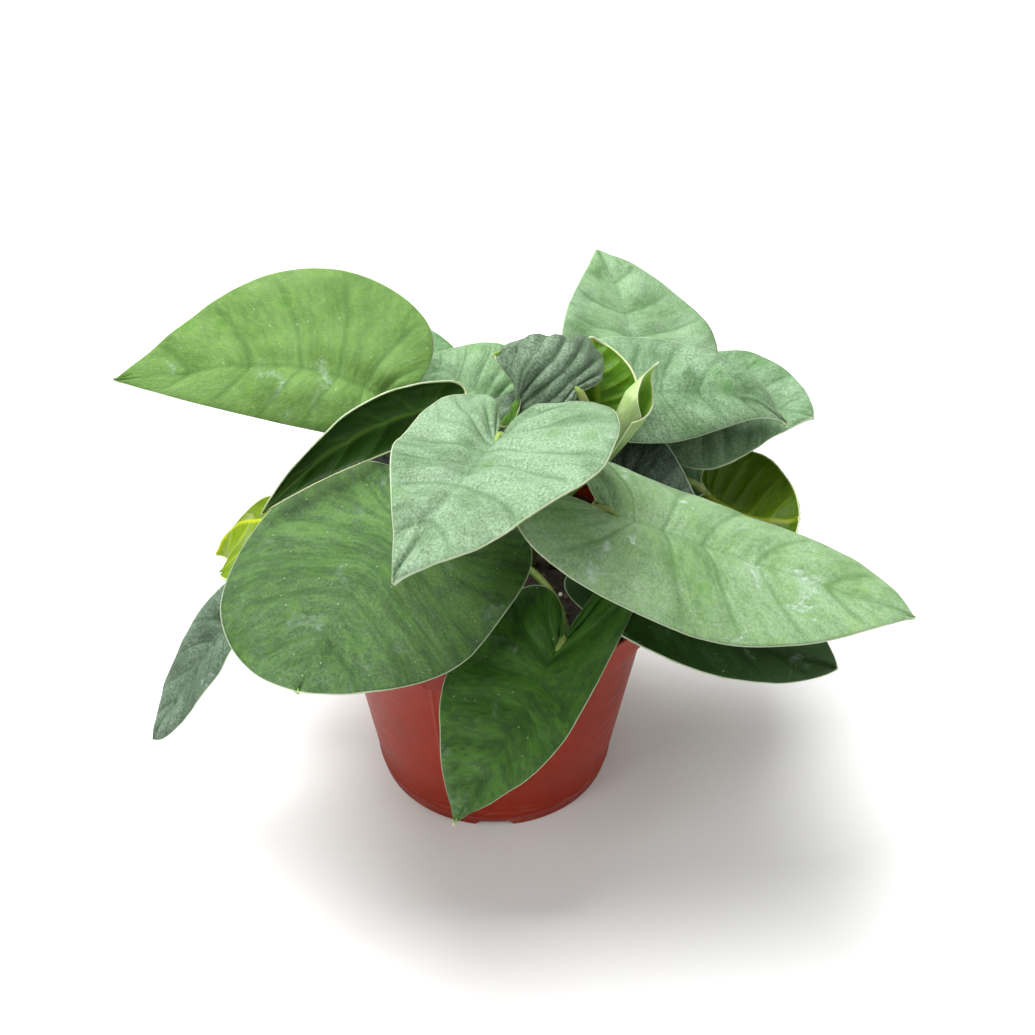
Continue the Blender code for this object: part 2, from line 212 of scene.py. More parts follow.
def pot_mesh():
    """The pot's wall turned about its axis, from the floor's middle over the rim and back under the foot."""
    top = POT_HEIGHT
    floor_top = POT_FLOOR + POT_WALL
    inner_foot = wall_radius(floor_top) - POT_WALL
    inner_collar = COLLAR_RADIUS - POT_WALL
    inside = [
        (0, floor_top), (FLOOR_RING, floor_top), (inner_foot - 0.8 * MM, floor_top),
        (inner_foot, floor_top + 0.8 * MM), (wall_radius(40 * MM) - POT_WALL, 40 * MM),
        (SHOULDER_RADIUS - POT_WALL, COLLAR_FOOT + 0.4 * MM),
        (SHOULDER_RADIUS - 0.6 * MM, COLLAR_FOOT + 1.3 * MM),
        (inner_collar - 0.5 * MM, COLLAR_FOOT + 1.6 * MM), (inner_collar, COLLAR_FOOT + 2.2 * MM),
    ]
    rounded_rim = [
        (RIM_RADIUS - LIP_RADIUS + LIP_RADIUS * math.cos(a), top - LIP_RADIUS + LIP_RADIUS * math.sin(a))
        for a in (math.pi, math.pi * 0.75, math.pi / 2, math.pi / 4, 0)
    ]
    under_the_lip = [
        (RIM_RADIUS - 0.1 * MM, top - 1.4 * MM), (RIM_RADIUS - 0.25 * MM, top - 1.8 * MM),
        (COLLAR_RADIUS + 0.35 * MM, COLLAR_FOOT + 3.4 * MM),
    ]
    seamed_wall = [
        (COLLAR_RADIUS, COLLAR_FOOT + 0.5 * MM), (COLLAR_RADIUS - 0.2 * MM, COLLAR_FOOT + 0.1 * MM),
        (COLLAR_RADIUS - 0.7 * MM, COLLAR_FOOT), (SHOULDER_RADIUS + 0.4 * MM, COLLAR_FOOT - 0.2 * MM),
        (SHOULDER_RADIUS, COLLAR_FOOT - 0.9 * MM),
        (wall_radius(60 * MM), 60 * MM), (wall_radius(40 * MM), 40 * MM), (wall_radius(20 * MM), 20 * MM),
    ]
    ring_inside = FOOT_RADIUS - FOOT_WIDTH
    foot = [
        (wall_radius(5.6 * MM), 5.6 * MM), (wall_radius(5.3 * MM) + BEAD_PROUD, 5.2 * MM),
        (wall_radius(4.6 * MM) + BEAD_PROUD, 4.6 * MM), (FOOT_RADIUS + 0.1 * MM, 2.6 * MM),
        (FOOT_RADIUS, FOOT_BEVEL), (FOOT_RADIUS - FOOT_BEVEL, 0), (ring_inside + FOOT_BEVEL, 0),
        (ring_inside, FOOT_BEVEL), (ring_inside, POT_FLOOR - 0.4 * MM),
        (ring_inside - 0.4 * MM, POT_FLOOR), (FLOOR_RING, POT_FLOOR), (0, POT_FLOOR),
    ]
    turns = pot_turns()
    shape = bmesh.new()
    rings = []
    for point in inside + rounded_rim + under_the_lip + seamed_wall + foot:
        radius, height = point
        ring = []
        for turn in turns:
            lift = notch_rise(turn) if height < NOTCH_HEIGHT else 0
            out = radius + (seam_height(turn) if point in seamed_wall else 0)
            ring.append(shape.verts.new((out * math.cos(turn), out * math.sin(turn), max(height, lift))))
        rings.append(ring)
    for above, below in zip(rings, rings[1:]):
        for i in range(len(turns)):
            j = (i + 1) % len(turns)
            shape.faces.new((above[i], below[i], below[j], above[j]))
    bmesh.ops.remove_doubles(shape, verts=shape.verts, dist=0.000002)
    bmesh.ops.recalc_face_normals(shape, faces=shape.faces)
    mesh = finished_mesh("pot_shell", shape)
    mesh.set_sharp_from_angle(angle=math.radians(40))
    return mesh


def terracotta_plastic():
    """Satin red-brown plastic with faint flow lines, scuffs, dust at the foot and painted shade inside."""
    material, shader, add = new_material("terracotta_plastic")
    place = add("TexCoord").outputs["Object"]
    cloud = grain(add, place, 28.0, 4.0, 0.6)
    flow = grain(add, stretched(add, place, (1.0, 1.0, 0.16)), 420.0, 3.0)
    scuff = grain(add, stretched(add, place, (1.0, 1.0, 5.0)), 90.0, 8.0, 0.7)
    height = add("SeparateXYZ", {"Vector": place}).outputs["Z"]
    low_dust = times(add, remap(add, height, 14 * MM, 0.0), 0.5)
    dust = times(add, remap(add, scuff, 0.50, 0.72), plus(add, low_dust, 0.10))
    body = blend_colour(add, remap(add, cloud, 0.3, 0.7), srgb(132, 30, 5), srgb(146, 36, 8))
    body = tint(add, body, remap(add, flow, 0.4, 0.7), 0.25, srgb(114, 22, 2))
    body = blend_colour(add, dust, body, srgb(176, 132, 110))
    # Painted shade: the inside of the wall is darkened from the rim downward, where the pot shades itself.
    facing = add("TexCoord").outputs["Normal"]
    outward = add("VectorMath", {0: facing, 1: place}, operation="DOT_PRODUCT").outputs["Value"]
    below_rim = remap(add, height, POT_HEIGHT, COLLAR_FOOT)
    painted_inner_shade = times(add, remap(add, outward, 0.0, -1 * MM), below_rim)
    body = tint(add, body, painted_inner_shade, 0.85, srgb(44, 30, 24))
    rough = plus(add, times(add, dust, 0.4), remap(add, scuff, 0.3, 0.7, 0.36, 0.50))
    fine = grain(add, place, 1500.0, 2.0)
    bump = bumped(add, plus(add, flow, times(add, fine, 0.4)), 0.08, 0.0006)
    connect(shader, Base_Color=body, Roughness=rough, Normal=bump)
    shader.inputs["Specular IOR Level"].default_value = 0.2
    return material


pot = add_piece("pot_shell", pot_mesh(), [terracotta_plastic()])
for i in range(DRAIN_HOLES):
    turn = math.tau * (i + 0.5) / DRAIN_HOLES
    middle = (DRAIN_CIRCLE * math.cos(turn), DRAIN_CIRCLE * math.sin(turn), POT_FLOOR + POT_WALL / 2)
    bpy.ops.mesh.primitive_cylinder_add(vertices=32, radius=DRAIN_RADIUS, depth=6 * POT_WALL, location=middle)
    drill = bpy.context.object
    hole = pot.modifiers.new("Drain", "BOOLEAN")
    hole.operation = "DIFFERENCE"
    hole.object = drill
    bpy.context.view_layer.update()
    bored = bpy.data.meshes.new_from_object(pot.evaluated_get(bpy.context.evaluated_depsgraph_get()))
    pot.modifiers.clear()
    pot.data = bored
    bpy.data.objects.remove(drill)
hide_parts("pot")


# Soil: damp dark peat with bark crumbs and white perlite, filled to a finger's breadth below the rim. The
# bed is one rough disc, and the grains and chips lie loose on it.
soil_low, soil_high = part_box("soil")
SOIL_RADIUS = soil_high.x - 0.1 * MM
SOIL_TOP = soil_high.z
SOIL_SWELL = 1.3 * MM
SOIL_CRUMB = 0.9 * MM
SOIL_RINGS = 65
SOIL_SPOKES = 150
PERLITE_GRAINS = 110
BARK_CHIPS = 90
chance = random.Random(12)


def soil_height(x, y):
    """The lumpy surface of the bed."""
    broad = noise.fractal(Vector((x, y, 0)) / (14 * MM), 1.0, 2.0, 4)
    fine = noise.fractal(Vector((x, y, 0.3)) / (2.6 * MM), 0.8, 2.1, 4)
    return SOIL_TOP - 0.6 * MM + SOIL_SWELL * broad + SOIL_CRUMB * abs(fine)


def soil_mesh():
    """A bed of rings from the middle to the wall, closed by a foot inside the pot."""
    shape = bmesh.new()
    turns = [math.tau * i / SOIL_SPOKES for i in range(SOIL_SPOKES)]
    rings = []
    for k in range(1, SOIL_RINGS + 1):
        radius = SOIL_RADIUS * k / SOIL_RINGS
        places = [(radius * math.cos(turn), radius * math.sin(turn)) for turn in turns]
        rings.append([shape.verts.new((x, y, soil_height(x, y))) for x, y in places])
    radius = wall_radius(soil_low.z) - POT_WALL - 0.8 * MM
    foot = [shape.verts.new((radius * math.cos(turn), radius * math.sin(turn), soil_low.z)) for turn in turns]
    rings.append(foot)
    for inner, outer in zip(rings, rings[1:]):
        for i in range(SOIL_SPOKES):
            j = (i + 1) % SOIL_SPOKES
            shape.faces.new((inner[i], outer[i], outer[j], inner[j]))
    shape.faces.new(rings[0])
    shape.faces.new(foot[::-1])
    bmesh.ops.recalc_face_normals(shape, faces=shape.faces)
    return finished_mesh("soil_bed", shape)


def scattered_lumps(name, count, smallest, largest, flatness):
    """Loose rough lumps strewn over the bed, joined in one mesh."""
    shape = bmesh.new()
    for _ in range(count):
        radius = SOIL_RADIUS * 0.97 * math.sqrt(chance.random())
        turn = math.tau * chance.random()
        x, y = radius * math.cos(turn), radius * math.sin(turn)
        size = smallest + (largest - smallest) * chance.random() ** 2
        made = bmesh.ops.create_icosphere(shape, subdivisions=2, radius=size)
        spin = Vector((chance.uniform(-1, 1), chance.uniform(-1, 1), chance.uniform(-1, 1))).normalized()
        tilt = chance.uniform(0, math.pi)
        stretch = Vector((1, chance.uniform(0.5, 0.9), flatness * chance.uniform(0.7, 1.2)))
        seed = Vector((chance.random(), chance.random(), chance.random())) * 40
        lean = spin.to_track_quat("Z", "Y").slerp(Vector((0, 0, 1)).to_track_quat("Z", "Y"), 0.5)
        for vert in made["verts"]:
            rough = 1 + 0.35 * noise.noise(vert.co / size * 1.3 + seed)
            co = Vector((vert.co.x * stretch.x, vert.co.y * stretch.y, vert.co.z * stretch.z)) * rough
            co.rotate(lean)
            ca, sa = math.cos(tilt), math.sin(tilt)
            vert.co = (x + co.x * ca - co.y * sa, y + co.x * sa + co.y * ca,
                       soil_height(x, y) + 0.25 * size + co.z)
    return finished_mesh(name, shape)


def peat_material():
    """Dark damp peat, fibrous and crumbly."""
    material, shader, add = new_material("damp_peat")
    place = add("TexCoord").outputs["Object"]
    crumbs = add("TexVoronoi", {"Vector": place, "Scale": 520.0}, feature="F1").outputs["Distance"]
    fibre = grain(add, place, 900.0, 6.0, 0.7)
    patch = grain(add, place, 90.0, 3.0)
    colour = blend_colour(add, remap(add, fibre, 0.35, 0.7), srgb(24, 18, 14), srgb(58, 42, 31))
    colour = tint(add, colour, remap(add, patch, 0.45, 0.7), 0.5, srgb(36, 24, 17))
    bump = bumped(add, plus(add, crumbs, fibre), 0.8, 0.0012)
    connect(shader, Base_Color=colour, Roughness=remap(add, fibre, 0.3, 0.7, 0.7, 0.98), Normal=bump)
    return material


def perlite_material():
    """White porous grains, with stains of peat."""
    material, shader, add = new_material("white_perlite")
    place = add("TexCoord").outputs["Object"]
    pores = add("TexVoronoi", {"Vector": place, "Scale": 1500.0}).outputs["Distance"]
    stain = grain(add, place, 260.0, 3.0)
    colour = blend_colour(add, remap(add, stain, 0.4, 0.75), srgb(222, 218, 206), srgb(150, 132, 108))
    rough = remap(add, pores, 0.0, 0.6, 0.95, 0.8)
    connect(shader, Base_Color=colour, Roughness=rough, Normal=bumped(add, pores, 0.7, 0.0006))
    return material


def bark_material():
    """Brown bark with its fibres along one way."""
    material, shader, add = new_material("bark_crumb")
    place = add("TexCoord").outputs["Object"]
    fibre = grain(add, stretched(add, place, (1.0, 4.0, 1.0)), 480.0, 5.0)
    colour = blend_colour(add, remap(add, fibre, 0.35, 0.65), srgb(44, 29, 20), srgb(98, 70, 48))
    rough = remap(add, fibre, 0.3, 0.7, 0.75, 0.92)
    connect(shader, Base_Color=colour, Roughness=rough, Normal=bumped(add, fibre, 0.6, 0.0005))
    return material


soil = add_piece("soil_bed", soil_mesh(), [peat_material()])
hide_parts("soil")
perlite = add_piece("soil_perlite", scattered_lumps("soil_perlite", PERLITE_GRAINS, 0.5 * MM, 1.7 * MM, 0.8),
                    [perlite_material()])
chips = add_piece("soil_bark", scattered_lumps("soil_bark", BARK_CHIPS, 1.0 * MM, 3.2 * MM, 0.3),
                  [bark_material()])


# Leaf blades: heart-shaped, thick and satin, dark to silvery green above and brighter green below, with a
# thin clear margin. Each is one sheet, arched along its midrib, folded and curled about it, and puckered.
BLADE_THICKNESS = 0.55 * MM
VEINS_PER_SIDE = 8
VEIN_CROWDING = 0.8
# Each blade is given by the vine and the place on it where its stalk starts, the base where it joins its
# stalk, its tip, its width and its bends. Lengths are in millimetres and angles in degrees.
LEAVES = {
    "left_high": dict(vine="left", node=0.98, base=(-34, 15, 141), tip=(-127, 32, 138), width=57, roll=-31,
                      bow=6, sway=6, curl_left=-32, lobe=0.6, skew=0.29, crest=-0.7),
    "left_folded": dict(vine="left", node=0.5, base=(-14, 11, 142), tip=(-73, -20, 121), width=19, roll=120,
                        bow=-3, sway=-7, fold=-8, curl_left=-50, lobe=0.8, full=0.3),
    "front_high": dict(vine="centre", node=0.7, base=(1, -25, 156), tip=(-28, -83, 147), width=63, roll=2,
                       bow=8, sway=-4, fold=11, lobe=2.8, skew=-0.24, crest=0.4),
    "front_left": dict(vine="centre", node=0.4, base=(-21, -34, 130), tip=(-56, -86, 109), width=89,
                       roll=-5, bow=1, sway=5, fold=-14, lobe=2.3, skew=0.1, full=1.3, lop=-0.35),
    "front_low": dict(vine="centre", node=0.1, base=(20, -57, 101), tip=(-13, -81, 46), width=42, roll=-37,
                      bow=11, fold=-10, lobe=3.4, skew=0.24, crest=-0.1, lop=-0.5),
    "right_low": dict(vine="middle", node=0.25, base=(35, -38, 138), tip=(126, -54, 109), width=69, roll=5,
                      bow=-4, sway=-3, fold=7, curl_left=-54, curl_right=-28, lobe=2.5, full=0.5,
                      crest=-0.3, lop=0.3),
    "right_under": dict(vine="front", node=0.9, base=(34, -26, 102), tip=(110, -40, 74), width=49, roll=30,
                        bow=6, sway=4, fold=21, lobe=1.1, skew=-0.19, full=0.6, crest=-0.1),
    "top": dict(vine="middle", node=0.98, base=(48, 39, 131), tip=(36, 87, 157), width=60, roll=16, bow=3,
                sway=2, fold=3, lobe=1.2, skew=0.1, crest=-0.1),
    "right_high": dict(vine="right", node=0.8, base=(33, 20, 142), tip=(98, 23, 126), width=47, roll=15,
                       bow=6, sway=-2, fold=-4, curl_left=-6, curl_right=-31, lobe=1.4, skew=-0.2, crest=1),
    "right_outer": dict(vine="right", node=0.98, base=(65, 47, 121), tip=(107, 29, 125), width=66, roll=6,
                        bow=-1, sway=-3, fold=-4, lobe=1.1, skew=0.04, full=0.3, crest=0.4),
    "right_turned": dict(vine="right", node=0.3, base=(70, 14, 103), tip=(102, 4, 100), width=61, roll=195,
                         bow=5, sway=-1, fold=7, full=1.3),
    "right_small": dict(vine="middle", node=0.4, base=(38, 2, 120), tip=(66, -6, 115), width=36, roll=30),
    "centre_turned": dict(vine="middle", node=1, base=(33, 7, 139), tip=(31, 26, 157), width=27, roll=180,
                          bow=-1, full=1),
    "centre_cupped": dict(vine="right", node=0.5, base=(26, -7, 159), tip=(-1, 10, 161), width=56, roll=-24,
                          bow=8, sway=3, fold=-22, curl_left=-50, curl_right=-45, lobe=0.7, full=0.5,
                          crest=0.1),
    "centre_back": dict(vine="back", node=0.98, base=(2, 28, 130), tip=(-27, 47, 137), width=41, roll=-18,
                        bow=2),
    "left_turned": dict(vine="left", node=0.6, base=(-63, -15, 111), tip=(-90, -11, 97), width=46, roll=187,
                        bow=-6, sway=-3, fold=7, skew=0.2, full=1.3, crest=0.5),
    "left_narrow": dict(vine="left", node=0.3, base=(-79, -28, 95), tip=(-112, -47, 49), width=22, roll=-6,
                        bow=2, fold=2, lobe=0.9, full=1.3),
    "centre_rolled": dict(vine="centre", node=0.97, base=(25, -4, 149), tip=(-9, 7, 143), width=28,
                          roll=-25, bow=3, fold=-20, curl_left=-60, curl_right=-60, lobe=0.6, full=0.8),
    "inner": dict(vine="centre", node=0.7, base=(-26, -2, 131), tip=(-53, -6, 122), width=26, roll=-10),
    "back_left_high": dict(vine="left", node=0.9, base=(-22, 40, 131), tip=(-74, 73, 125), width=50, bow=6),
    "back_low": dict(vine="back", node=0.5, base=(-4, 44, 102), tip=(-14, 86, 56), width=50, bow=12),
    "back_right": dict(vine="back", node=0.9, base=(22, 38, 118), tip=(48, 82, 86), width=52, bow=10),
    "back_side": dict(vine="right", node=0.4, base=(53, 32, 95), tip=(107, 49, 65), width=46, bow=8),
    "back_left": dict(vine="left", node=0.2, base=(-40, 22, 104), tip=(-84, 48, 66), width=50, bow=8),
}
# How each blade looks: the greens of its upper side and underside, how silvery it is, and how much chalky
# residue it has; then how strong its dark streaks, its puckers and its painted shade toward the tip are.
FINISHES = {
    "left_high": dict(green=(92, 130, 48), silver=0.15, chalk=0.3, under=(120, 160, 60), stripe=0.25,
                      wrinkle=1.1),
    # Painted shade: the folded blade's underside green is darkened, for the shadow it lies in.
    "left_folded": dict(green=(90, 118, 92), silver=0.5, chalk=0.1, under=(30, 64, 0)),
    "front_high": dict(green=(92, 126, 82), silver=0.9, chalk=0.1, under=(110, 150, 60), stripe=0.55,
                       wrinkle=1.9),
    "front_left": dict(green=(66, 106, 20), silver=0.22, chalk=0.15, under=(100, 145, 50), stripe=0.95,
                       wrinkle=1.5, painted_tip_shade=0.7),
    "front_low": dict(green=(58, 104, 10), silver=0.05, chalk=0.15, under=(90, 130, 50), stripe=0.8,
                      wrinkle=1.8),
    "right_low": dict(green=(112, 150, 86), silver=0.8, chalk=0.9, under=(100, 140, 60), stripe=0.3,
                      wrinkle=1.2),
    "right_under": dict(green=(32, 70, 6), silver=0.06, chalk=0.3, under=(80, 120, 40)),
    "top": dict(green=(112, 150, 98), silver=0.9, chalk=0.1, under=(110, 150, 60), wrinkle=1.3),
    "right_high": dict(green=(88, 126, 78), silver=0.85, chalk=0.15, under=(90, 130, 60), stripe=0.65,
                       wrinkle=1.5),
    "right_outer": dict(green=(86, 126, 76), silver=0.8, chalk=0.1, under=(80, 120, 50)),
    "right_turned": dict(green=(90, 120, 90), silver=0.5, chalk=0.1, under=(74, 100, 0)),
    # Painted shade: this blade's upper green is nearly black, for the shadow it lies in.
    "right_small": dict(green=(22, 40, 30), silver=0.3, chalk=0.1, under=(80, 110, 50)),
    "centre_turned": dict(green=(90, 140, 80), silver=0.3, chalk=0.0, under=(74, 116, 0)),
    "centre_cupped": dict(green=(64, 88, 60), silver=0.6, chalk=0.1, under=(90, 130, 50), stripe=0.6,
                          wrinkle=1.8),
    "centre_rolled": dict(green=(62, 86, 58), silver=0.6, chalk=0.1, under=(90, 130, 50), stripe=0.6,
                          wrinkle=1.8),
    "centre_back": dict(green=(98, 138, 84), silver=0.7, chalk=0.1, under=(110, 150, 60)),
    "left_turned": dict(green=(100, 140, 80), silver=0.3, chalk=0.0, under=(110, 134, 4)),
    "left_narrow": dict(green=(60, 82, 62), silver=0.5, chalk=0.7, under=(100, 130, 60)),
    # Painted shade: this blade's greens are nearly black, for the shadow deep inside the plant.
    "inner": dict(green=(12, 26, 8), silver=0.03, chalk=0.0, under=(40, 60, 20)),
}
PLAIN_FINISH = dict(green=(82, 128, 70), silver=0.4, chalk=0.15, under=(100, 140, 55), stripe=0.35, wrinkle=1,
                    painted_tip_shade=0)


def bezier(points, t):
    """The point at t on the Bezier curve of these control points."""
    points = [Vector(point) for point in points]
    while len(points) > 1:
        points = [a.lerp(b, t) for a, b in zip(points, points[1:])]
    return points[0]


def blade_edge(t, lobe, full):
    """Half of a heart-shaped outline: (along, across) in lengths and widths, from the notch to the tip."""
    widest = 0.27 + 0.06 * full
    share = 0.42
    if t < share:
        return bezier(((0, 0), (-0.13 * lobe, 0.10), (-0.17 * lobe, 0.5), (widest, 0.5)), t / share)
    shoulder = widest + 0.27 + 0.04 * full
    near_tip = (0.82 + 0.10 * full, 0.16 + 0.10 * full)
    return bezier(((widest, 0.5), (shoulder, 0.5), near_tip, (1, 0)), (t - share) / (1 - share))


class Blade:
    """A leaf blade's curved surface, from its place, its size and how it bends."""

    def __init__(self, base, tip, width, roll=0, bow=0, sway=0, fold=0, curl_left=0, curl_right=0,
                 lobe=1, skew=0, full=0, crest=0, lop=0):
        self.base = Vector(base) * MM
        self.reach = Vector(tip) * MM - self.base
        self.width = width * MM
        self.bow = bow * MM
        self.sway = sway * MM
        self.fold = math.radians(fold)
        self.curl = {-1: math.radians(curl_left), 1: math.radians(curl_right)}
        self.lobe = lobe
        self.skew = skew
        self.full = full
        self.crest = crest
        self.lop = lop
        along = self.reach.normalized()
        up = (Vector((0, 0, 1)) - along * along.z).normalized()
        roll = math.radians(roll)
        self.facing = up * math.cos(roll) + along.cross(up) * math.sin(roll)
        self.across = along.cross(self.facing)

    def midrib(self, x):
        """A point on the midrib, and the unit vectors along it, across it and out of the upper side."""
        inside = min(max(x, 0), 1)
        arch = self.facing * self.bow + self.across * self.sway
        lean = 1 + self.crest * (2 * inside - 1)
        slope = self.reach + arch * 4 * ((1 - 2 * inside) * lean + 2 * self.crest * inside * (1 - inside))
        point = self.base + self.reach * inside + arch * 4 * inside * (1 - inside) * lean
        point += slope * (x - inside)
        along = slope.normalized()
        across = along.cross(self.facing).normalized()
        return point, along, across, across.cross(along)

    def flat(self, t, s):
        """Where a point of the blade lies before it bends: along in lengths, and across in metres."""
        side = 1 if s > 0 else -1
        edge = blade_edge(t, self.lobe * (1 + side * self.lop), self.full)
        start = t * t
        control = (start + 0.35 * (edge.x - start), 0.62 * edge.y)
        place = bezier(((start, 0), control, edge), abs(s))
        return place.x, side * place.y * self.width * (1 + side * self.skew)

    def point(self, t, s):
        """The surface at t, 0 notch to 1 tip, and s, -1 left margin over 0 midrib to 1 right margin."""
        side = 1 if s > 0 else -1
        x, out = self.flat(t, s)
        out = abs(out)
        point, along, across, facing = self.midrib(x)
        bend = self.curl[side] / (self.width / 2)
        if abs(bend) > 0.001:
            sideways = (math.sin(self.fold + bend * out) - math.sin(self.fold)) / bend
            upwards = (math.cos(self.fold) - math.cos(self.fold + bend * out)) / bend
        else:
            sideways = out * math.cos(self.fold)
            upwards = out * math.sin(self.fold)
        return point + across * (side * sideways) + facing * upwards


def vein_dip(t, s):
    """1 on a side vein, falling to 0 between two of them."""
    phase = VEINS_PER_SIDE * t ** VEIN_CROWDING
    return (0.5 + 0.5 * math.cos(math.tau * phase)) ** 2 * min(1, abs(s) * 5) * (1 - abs(s) ** 2)


def relief(t, s, x, y, seed, wrinkle):
    """How far the skin stands above the smooth blade: a sunken midrib and veins, pillows and slow waves."""
    near_notch = max(0, 1 - max(x, 0) * 1.15)
    groove = (0.4 + 1.9 * near_notch) * math.exp(-(y / ((1.4 + 2.4 * near_notch) * MM)) ** 2)
    shoulder = 1.5 * near_notch * math.exp(-((abs(y) / MM - 8) / 5) ** 2)
    broad = noise.noise(Vector((x * 2.6, y / (24 * MM), seed)))
    middle = noise.noise(Vector((x * 6, y / (11 * MM), seed + 2)))
    small = noise.noise(Vector((x * 14, y / (5 * MM), seed + 5)))
    rolled = 0.9 * abs(s) ** 8
    ripple = 0.7 * abs(s) ** 5 * math.sin(9 * t + seed)
    pillows = 1.5 * broad * min(1, abs(s) * 3) + 0.7 * middle + 0.2 * small - 0.9 * vein_dip(t, s)
    return (pillows * wrinkle + shoulder + ripple - groove - rolled) * MM


def blade_mesh(name, blade, seed, wrinkle, rows=72, columns=28):
    """A blade's grid, closer at the margin, that also keeps where each point lies on the flat leaf."""
    shape = bmesh.new()
    bmesh.ops.create_grid(shape, x_segments=rows, y_segments=columns, size=1)
    veins = shape.verts.layers.float_vector.new("veins")
    skin = shape.verts.layers.float_vector.new("skin")
    length = blade.reach.length
    place = {}
    for vert in shape.verts:
        t = (vert.co.x + 1) / 2
        s = math.copysign(1 - (1 - abs(vert.co.y)) ** 1.25, vert.co.y)
        x, y = blade.flat(t, s)
        edge = blade.flat(t, math.copysign(1, s))
        margin = math.hypot((edge[0] - x) * length, edge[1] - y)
        vert[veins] = (t, s, margin * 1000)
        vert[skin] = (x * length * 1000, y * 1000, seed)
        place[vert] = (t, s, x, y)
    for vert, (t, s, x, y) in place.items():
        vert.co = blade.point(t, s)
    bmesh.ops.reverse_faces(shape, faces=shape.faces)
    shape.normal_update()
    lifted = {vert: vert.co + vert.normal * relief(*spot, seed, wrinkle) for vert, spot in place.items()}
    for vert, co in lifted.items():
        vert.co = co
    bmesh.ops.remove_doubles(shape, verts=shape.verts, dist=0.00005)
    return finished_mesh(name, shape)


def leaf_coordinates(add):
    """Sockets for t, s, the margin's distance, the flat leaf's place, the midrib's distance and the seed."""
    veins = add("SeparateXYZ", {"Vector": add("Attribute", attribute_name="veins").outputs["Vector"]}).outputs
    skin = add("Attribute", attribute_name="skin").outputs["Vector"]
    flat = add("SeparateXYZ", {"Vector": skin}).outputs
    return veins["X"], veins["Y"], veins["Z"], skin, flat["Y"], flat["Z"]


def vein_masks(add, t, s, across):
    """Masks of the side veins and of the midrib."""
    phase = times(add, calculate(add, "POWER", t, VEIN_CROWDING), float(VEINS_PER_SIDE))
    off = calculate(add, "PINGPONG", phase, 0.5)
    inner = remap(add, calculate(add, "ABSOLUTE", s), 1.0, 0.75)
    side_veins = times(add, remap(add, off, 0.10, 0.0), inner)
    midrib = remap(add, calculate(add, "ABSOLUTE", across), 1.4, 0.2)
    return side_veins, midrib


def streak_noise(add, t, s, seed, along, across, detail):
    """Grain drawn out along the side veins, with so many streaks along and across the blade."""
    inputs = {"X": times(add, t, along), "Y": times(add, s, across), "Z": seed}
    return grain(add, add("CombineXYZ", inputs).outputs[0], 1.0, detail, 0.6)


def upper_skin(name, green, silver, chalk, stripe, painted_tip_shade):
    """The satin upper side: green bands between the veins, a silvery bloom, and old water marks."""
    material, shader, add = new_material("leaf_upper_" + name)
    t, s, margin, skin, across, seed = leaf_coordinates(add)
    side_veins, midrib = vein_masks(add, t, s, across)
    bands = streak_noise(add, t, s, seed, 15.0, 1.3, 3.0)
    bars = streak_noise(add, t, s, plus(add, seed, 7.0), 38.0, 2.6, 4.0)
    fibres = streak_noise(add, t, s, seed, 70.0, 7.0, 6.0)
    cloud = grain(add, skin, 0.05, 4.0, 0.6)
    cells = grain(add, skin, 1.3, 4.0, 0.75)
    grit = grain(add, skin, 4.5, 2.0, 0.8)
    red, grn, blue = green
    deep = srgb(red * 0.52, grn * 0.66, blue * 0.45)
    light = srgb(min(255, red * 1.18), min(255, grn * 1.12), min(255, blue * 1.12))
    shaded = srgb(red * 0.86, grn * 0.90, blue * 0.80)
    body = blend_colour(add, remap(add, cloud, 0.3, 0.65), shaded, srgb(*green))
    body = tint(add, body, remap(add, bands, 0.56, 0.36), stripe, deep)
    body = tint(add, body, remap(add, bars, 0.53, 0.42), 0.9 * stripe, deep)
    # Painted shade: the upper side is darkened toward the tip, by the blade's given amount.
    body = tint(add, body, remap(add, t, 0.3, 0.85), painted_tip_shade, deep)
    body = tint(add, body, remap(add, fibres, 0.42, 0.68), 0.45, light)

    veil = times(add, remap(add, cloud, 0.28, 0.62, 0.45, 1.0), remap(add, bands, 0.34, 0.56, 0.6, 1.0))
    speckled = remap(add, plus(add, cells, times(add, grit, 0.5)), 0.60, 0.92, 0.15, 1.0)
    bloom = times(add, times(add, veil, speckled), silver)
    body = blend_colour(add, bloom, body, srgb(158, 182, 156))
    body = tint(add, body, side_veins, 0.4, deep)
    # Painted shade: a darker line along the midrib, for the shade in its groove.
    body = tint(add, body, midrib, 0.22, deep)

    marks = remap(add, grain(add, skin, 0.075, 8.0, 0.7, 0.6), 0.57, 0.70)
    streaks = streak_noise(add, t, s, plus(add, seed, 3.0), 26.0, 9.0, 5.0)
    chalky = times(add, times(add, marks, remap(add, streaks, 0.40, 0.62, 0.3, 1.0)), chalk)
    body = blend_colour(add, chalky, body, srgb(206, 220, 220))
    dots = add("TexVoronoi", {"Vector": skin, "Scale": 0.26}, feature="F1").outputs["Distance"]
    body = tint(add, body, remap(add, dots, 0.075, 0.04), 0.5, srgb(196, 212, 184))
    drops = add("TexVoronoi", {"Vector": skin, "Scale": 0.05}, feature="F1").outputs["Distance"]
    ring = times(add, remap(add, drops, 0.12, 0.15), remap(add, drops, 0.20, 0.16))
    body = tint(add, body, ring, 0.3, light)
    body = tint(add, body, remap(add, drops, 0.13, 0.10), 0.35, srgb(red * 0.80, grn * 0.98, blue * 0.55))
    body = blend_colour(add, remap(add, margin, 0.40, 0.15), body, srgb(186, 200, 168))

    dulled = times(add, plus(add, bloom, chalky), 0.16)
    rough = plus(add, remap(add, cells, 0.3, 0.7, 0.44, 0.58), dulled)
    height = plus(add, times(add, fibres, 0.5), times(add, cells, 0.6))
    bump = bumped(add, plus(add, height, times(add, grit, 0.25)), 0.75, 0.0007)
    connect(shader, Base_Color=body, Roughness=rough, Normal=bump)
    shader.inputs["Specular IOR Level"].default_value = 0.25
    return material


